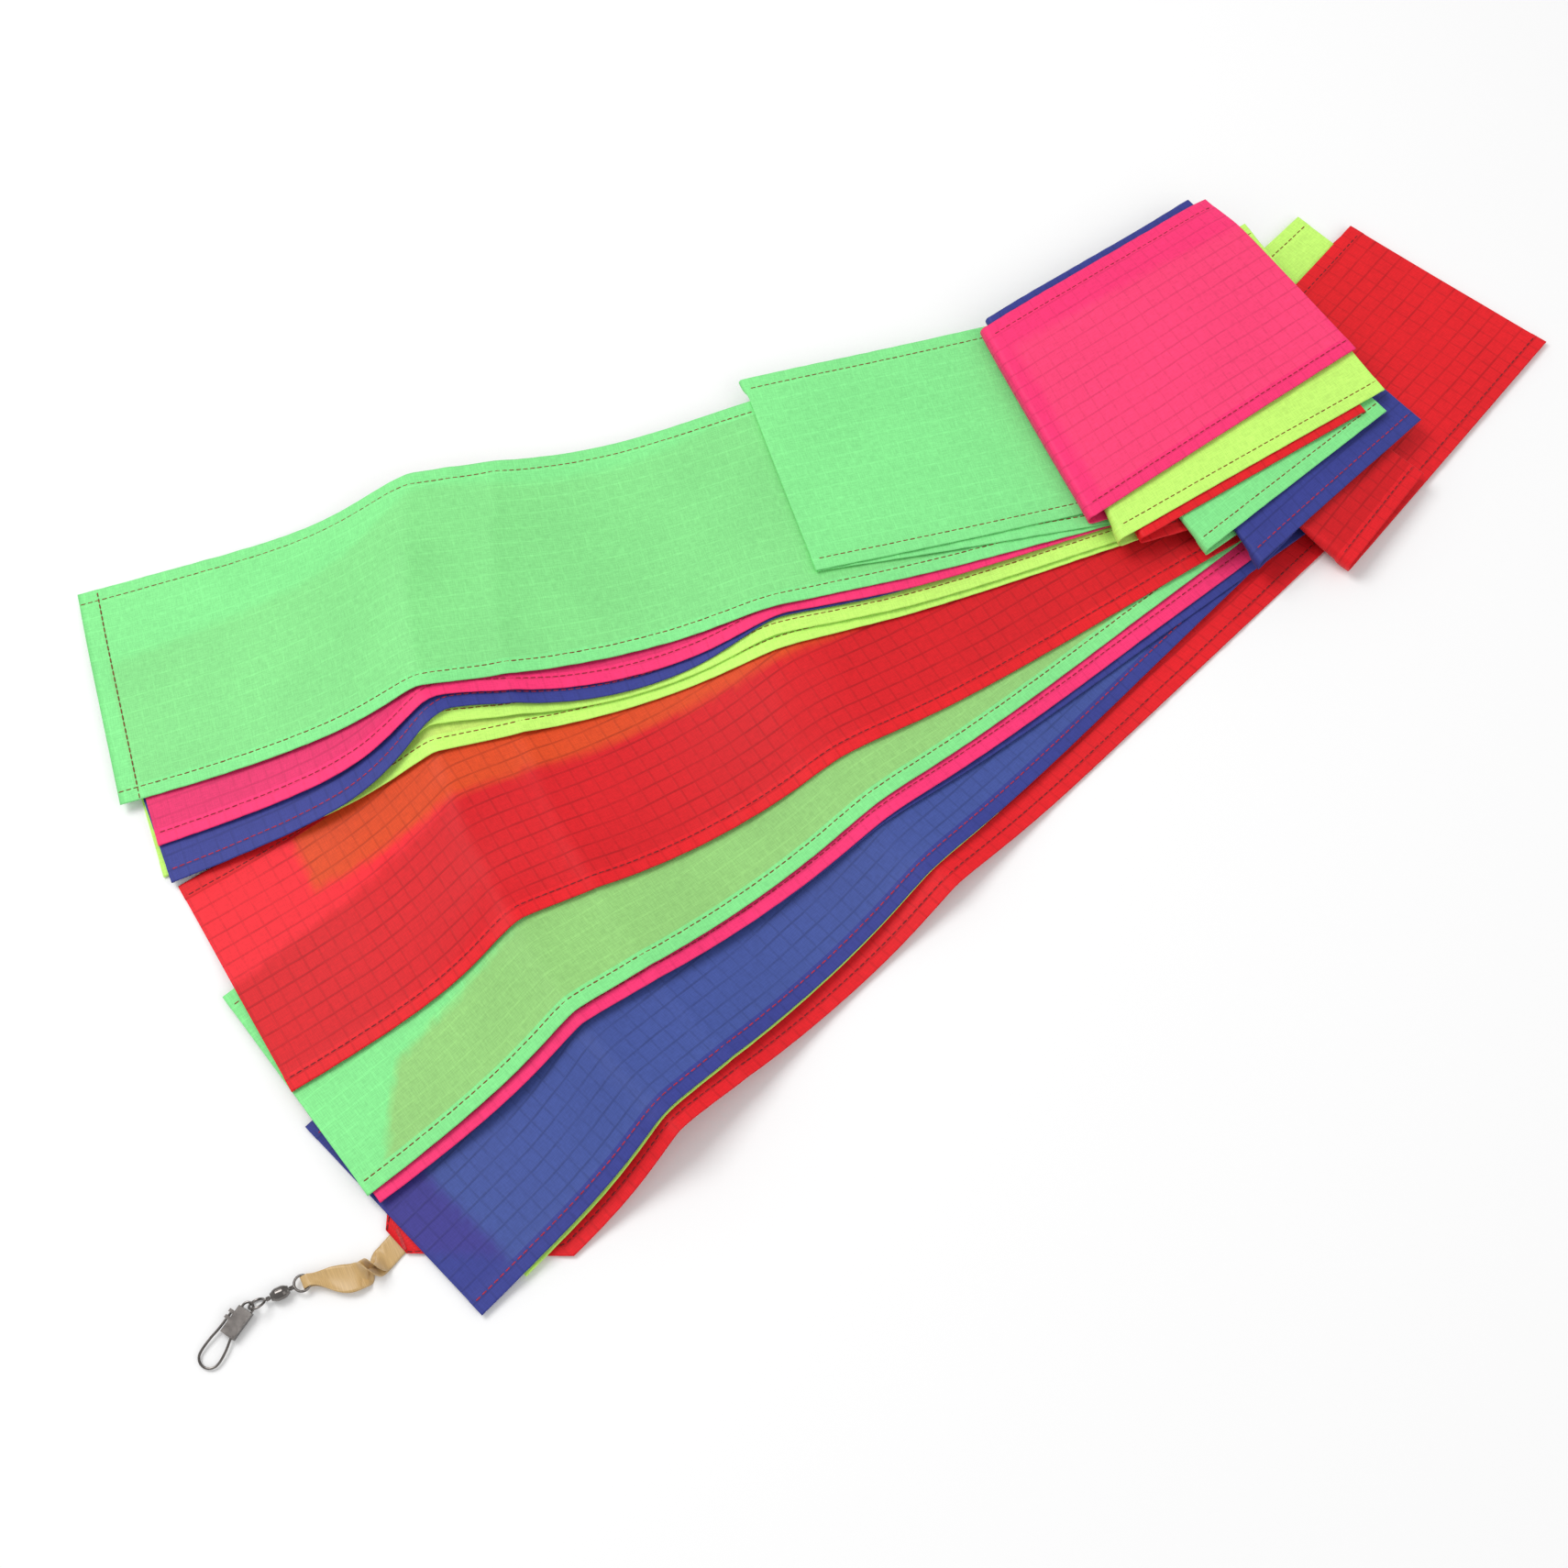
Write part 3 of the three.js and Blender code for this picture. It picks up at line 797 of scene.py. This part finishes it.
class Strip:
    """Rows of points and their colours, joined run by run."""

    def __init__(self):
        self.rows = []
        self.seen = []

    def add(self, rows, seen):
        self.rows.append(rows)
        self.seen.append(seen)

    def add_like(self, rows, seen_row):
        self.add(rows, np.repeat(seen_row[None], len(rows), 0))

    def joined(self):
        return np.concatenate(self.rows), np.concatenate(self.seen)


def finish_strip(name, strip, colour, nodes, body, hem_rows=None, end_stitches=()):
    rows, seen = strip.joined()
    cloth = cloth_object(name, rows, seen, colour, hem_rows)
    normals = grid_normals(rows)
    lines = [(rows[:, column], normals[:, column]) for column in STITCH_COLUMNS]
    lines += [(rows[row], normals[row]) for row in end_stitches]
    stitches = stitch_mesh(name + "_stitches", lines, colour)
    if isinstance(body, str):
        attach(cloth, body)
        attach(stitches, body)
    else:
        for piece in (cloth, stitches):
            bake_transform(piece)
    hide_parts(*nodes)


LOOP_STEPS = 10
CUT_LOOP_STEPS = 12
# How far inside the top run's end the loop's inside point lies.
LOOP_BEND = 0.004


def left_lip(strip, name):
    rows, seen = laid[name]
    strip.add_like(lip(rows[0], outward(rows, 0)), seen[0])


def right_lip(strip, name):
    rows, seen = laid[name]
    strip.add_like(lip(rows[-1], outward(rows, -1))[::-1], seen[-1])


def add_turned_run(strip, long_name, return_name):
    """A run, the rolled turn at its right end and the run that comes back over it."""
    long_rows, long_seen = laid[long_name]
    return_rows, return_seen = laid[return_name]
    strip.add(long_rows, long_seen)
    strip.add_like(roll(long_rows[-1], return_rows[-1], outward(long_rows, -1)), return_seen[-1])
    strip.add(return_rows[::-1], return_seen[::-1])


def bundle_strip(strip_name):
    """A long run, its return run and its top run, in one piece of cloth."""
    long_name, return_name, top_name, colour = BUNDLE_STRIPS[strip_name]
    return_rows, _ = laid[return_name]
    top_rows, top_seen = laid[top_name]
    strip = Strip()
    if strip_name != "lead":
        left_lip(strip, long_name)
    add_turned_run(strip, long_name, return_name)
    loop = roll(return_rows[0], top_rows[0], outward(return_rows, 0), turns=LOOP_STEPS)
    strip.add_like(loop, top_seen[0])
    strip.add(top_rows, top_seen)
    right_lip(strip, top_name)
    finish_strip(strip_name + "_strip", strip, colour, [long_name, return_name, top_name], "stack")


def pink_high_strips():
    """The top strip of the bundle. Its loop is cut at the foremost point, and its top run is a piece of its
    own.
    """
    long_name, return_name, top_name, colour = BUNDLE_STRIPS["pink_high"]
    return_rows, return_seen = laid[return_name]
    top_rows, top_seen = laid[top_name]
    loop_out = outward(return_rows, 0)
    loop = roll(return_rows[0], top_rows[0], loop_out, turns=CUT_LOOP_STEPS)
    half = CUT_LOOP_STEPS // 2
    strip = Strip()
    left_lip(strip, long_name)
    add_turned_run(strip, long_name, return_name)
    strip.add_like(loop[:half], return_seen[0])
    finish_strip("pink_high_strip", strip, colour, [long_name, return_name], "stack")
    top = Strip()
    top.add_like(loop[half - 1:], top_seen[0])
    top.add(top_rows, top_seen)
    right_lip(top, top_name)
    apex = loop[half - 1].mean(axis=0)
    inside = top_rows[0].mean(axis=0) - np.append(loop_out, 0) * LOOP_BEND
    inside[2] = apex[2]
    bend = ("stack", "pink_flap", tuple(apex), tuple(inside))
    finish_strip("pink_top_strip", top, colour, [top_name], bend)


def plain_strip(name, node, colour):
    """One run that shows no turn."""
    strip = Strip()
    left_lip(strip, node)
    strip.add(*laid[node])
    finish_strip(name, strip, colour, [node], "stack")


def lime_low_strip():
    strip = Strip()
    left_lip(strip, "lime_low_long")
    add_turned_run(strip, "lime_low_long", "lime_low_return")
    finish_strip("lime_low_strip", strip, "lime", ["lime_low_long", "lime_low_return"], "stack")


END_STITCH_INSET = 0.0075
# Points this far from the crease, on its fixed side and on its free side.
CREASE_BEND_FIXED = 0.003
CREASE_BEND_FREE = 0.012


def green_top_strip():
    """The strip with the tail's hemmed free end."""
    long_rows, _ = laid["green_top_long"]
    under_rows, _ = laid["green_flap_under"]
    upper_rows, upper_seen = laid["green_flap_upper"]
    strip = Strip()
    add_turned_run(strip, "green_top_long", "green_flap_under")
    strip.add_like(roll(under_rows[0], upper_rows[0], outward(under_rows, 0)), upper_seen[0])
    strip.add(upper_rows, upper_seen)
    rows, _ = strip.joined()
    along = arc_lengths(rows[:, rows.shape[1] // 2])
    hem_rows = (along < HEM_WIDTH + 0.001).astype(float)
    stitch_row = int(np.argmin(np.abs(along - END_STITCH_INSET)))
    lower, upper = right_edge("green_free_end")
    crease = (lower + upper) / 2
    heading = right_edge("green_top_fixed")[0] - left_edge("green_free_end")[0]
    heading = heading / np.linalg.norm(heading)
    level = long_rows[len(long_rows) // 2, :, 2].mean()
    start = (*(crease + heading * CREASE_BEND_FIXED), level)
    end = (*(crease - heading * CREASE_BEND_FREE), level)
    finish_strip(
        "green_top_strip", strip, "green",
        ["green_free_end", "green_top_fixed", "green_flap_under", "green_flap_upper"],
        ("stack", "free_end", start, end), hem_rows=hem_rows, end_stitches=[stitch_row],
    )


bundle_strip("lead")
lime_low_strip()
bundle_strip("navy_main")
plain_strip("navy_second_strip", "navy_second_long", "navy")
plain_strip("pink_low_strip", "pink_low_long", "pink")
bundle_strip("green_low")
plain_strip("lime_inner_strip", "lime_inner_long", "lime")
bundle_strip("red_main")
bundle_strip("lime_first")
plain_strip("lime_second_strip", "lime_second_long", "lime")
bundle_strip("navy_high")
pink_high_strips()
green_top_strip()


# ---- Swivel and snap: the CAD solids with a better finish ----

nickel = nickel_material()
for node_name in ("tail_eye", "swivel_barrel", "snap_eye", "snap_plate", "snap_eye_wire", "snap_bow_wire"):
    for material_slot in NODES[node_name].material_slots:
        material_slot.link = "OBJECT"
        material_slot.material = nickel


# ---- Ribbon ----

RIBBON_WIDTH = 0.0100
RIBBON_GAP = 0.0005
RIBBON_LOW = 0.0004
RIBBON_SWAY = 0.0062
RIBBON_LOOP_REACH = 0.0030
RIBBON_LOOP_RADIUS = 0.0013
RIBBON_COLUMNS = 11
RIBBON_THICKNESS = 0.00022
# The share of the way to the near wire at which the two layers become the loop.
RIBBON_LEG_END = 0.955


def smooth_step(value):
    value = np.clip(value, 0, 1)
    return value * value * (3 - 2 * value)


NEAR_WIRE = np.array(next(j for j in frame["joints"] if j["name"] == "swivel_swing")["pos_m"])


RIBBON_REACH = np.linalg.norm(NEAR_WIRE[:2] - TACK[:2])
FORWARD = np.append((NEAR_WIRE[:2] - TACK[:2]) / RIBBON_REACH, 0)
SIDE = np.array([-FORWARD[1], FORWARD[0], 0])
UP = np.array([0, 0, 1.0])
SPREAD = np.linspace(-0.5, 0.5, RIBBON_COLUMNS)


def ribbon_station(share, face):
    """Middle, width direction, facing and width at a share of the way. The layers twist in turn."""
    twist = math.pi * smooth_step((share - (0.20 if face > 0 else 0.27)) / 0.30)
    gather = 1 - 0.55 * smooth_step((share - 0.74) / 0.24)
    lobe = 1 + 0.12 * math.exp(-((share - 0.66) / 0.1) ** 2)
    width = RIBBON_WIDTH * gather * lobe
    rise = RIBBON_LOW + (NEAR_WIRE[2] - RIBBON_LOW) * smooth_step((share - 0.05) / 0.6)
    middle = TACK + FORWARD * RIBBON_REACH * share
    # An edge that stands up in the twist still rests on the table.
    middle[2] = max(rise, abs(math.sin(twist)) * width / 2 + RIBBON_LOW)
    middle = middle + SIDE * RIBBON_SWAY * math.sin(math.pi * share) ** 1.2
    across = SIDE * math.cos(twist) + UP * math.sin(twist)
    return middle, across, np.cross(FORWARD, across), width


def ribbon_layer(face):
    """One layer, from the tack to where the loop begins. The layers open to pass round the wire."""
    rows = []
    for share in np.linspace(0, RIBBON_LEG_END, 60):
        middle, across, facing, width = ribbon_station(share, face)
        opening = (RIBBON_LOOP_RADIUS - RIBBON_GAP / 2) * smooth_step((share - 0.80) / 0.15)
        cup = 0.0008 * smooth_step((share - 0.5) / 0.3) * (1 - (2 * SPREAD) ** 2)
        points = middle + across[None] * SPREAD[:, None] * width
        rows.append(points + facing[None] * (face * (RIBBON_GAP / 2 + opening) + cup)[:, None])
    return rows


def ribbon_turn():
    """The turn round the tail eye's near wire."""
    _, across, facing, width = ribbon_station(RIBBON_LEG_END, 1)
    rows = []
    for k in range(13):
        angle = math.pi / 2 - math.pi * k / 12
        middle = NEAR_WIRE + FORWARD * RIBBON_LOOP_REACH * math.cos(angle)
        middle = middle + facing * RIBBON_LOOP_RADIUS * math.sin(angle)
        rows.append(middle + across[None] * SPREAD[:, None] * width)
    return rows


def build_ribbon():
    """The doubled ribbon: from the lead tip, through a twist, round the near wire and back."""
    rows = np.array(ribbon_layer(1) + ribbon_turn() + ribbon_layer(-1)[::-1])
    piece = grid_object("ribbon", rows, satin_material())
    along = arc_lengths(rows[:, RIBBON_COLUMNS // 2])
    across = np.linspace(-RIBBON_WIDTH / 2, RIBBON_WIDTH / 2, RIBBON_COLUMNS)
    add_strip_map(piece.data, along, across)
    thicken = piece.modifiers.new("thickness", "SOLIDIFY")
    thicken.thickness = RIBBON_THICKNESS
    thicken.offset = 0
    back = np.append(TACK[:2] - NEAR_WIRE[:2], 0)
    back = back / np.linalg.norm(back)
    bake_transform(piece)
    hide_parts("ribbon_loop")


build_ribbon()
for material_slot in NODES["ribbon_tack"].material_slots:
    material_slot.link = "OBJECT"
    material_slot.material = TACK_MATERIAL


# ---- Floor, light and camera ----

def build_floor():
    bpy.ops.mesh.primitive_plane_add(size=8, location=(0, 0, 0))
    floor = bpy.context.object
    floor.name = "floor"
    material, _, principled = shader("paper_white")
    principled.inputs["Base Color"].default_value = (0.93, 0.93, 0.93, 1)
    principled.inputs["Roughness"].default_value = 0.9
    floor.data.materials.append(material)


def area_light(name, place, size, power):
    light = bpy.data.lights.new(name, "AREA")
    light.size = size
    light.energy = power
    lamp = bpy.data.objects.new(name, light)
    lamp.location = place
    lamp.rotation_euler = (-Vector(place)).to_track_quat("-Z", "Y").to_euler()
    bpy.context.scene.collection.objects.link(lamp)


def build_light():
    world = bpy.data.worlds.new("studio")
    world.use_nodes = True
    background = world.node_tree.nodes["Background"]
    background.inputs["Color"].default_value = (1, 1, 1, 1)
    background.inputs["Strength"].default_value = 0.62
    bpy.context.scene.world = world
    area_light("key", (-0.9, 0.5, 1.5), 0.9, 17)
    area_light("fill", (1.2, -0.9, 1.4), 1.6, 7)
    bpy.context.scene.view_settings.view_transform = "Standard"


CAMERA_ELEVATION = math.radians(67.8)
CAMERA_DISTANCE = 0.925
CAMERA_LENS = 52.6
CAMERA_TARGET = Vector((-0.0192, -0.0214, 0))


def build_camera():
    data = bpy.data.cameras.new("camera")
    data.lens = CAMERA_LENS
    data.sensor_width = 36
    camera = bpy.data.objects.new("camera", data)
    back = Vector((0, -math.cos(CAMERA_ELEVATION), math.sin(CAMERA_ELEVATION)))
    camera.location = CAMERA_TARGET + back * CAMERA_DISTANCE
    camera.rotation_euler = (-back).to_track_quat("-Z", "Y").to_euler()
    bpy.context.scene.collection.objects.link(camera)
    bpy.context.scene.camera = camera


build_floor()
build_light()
build_camera()
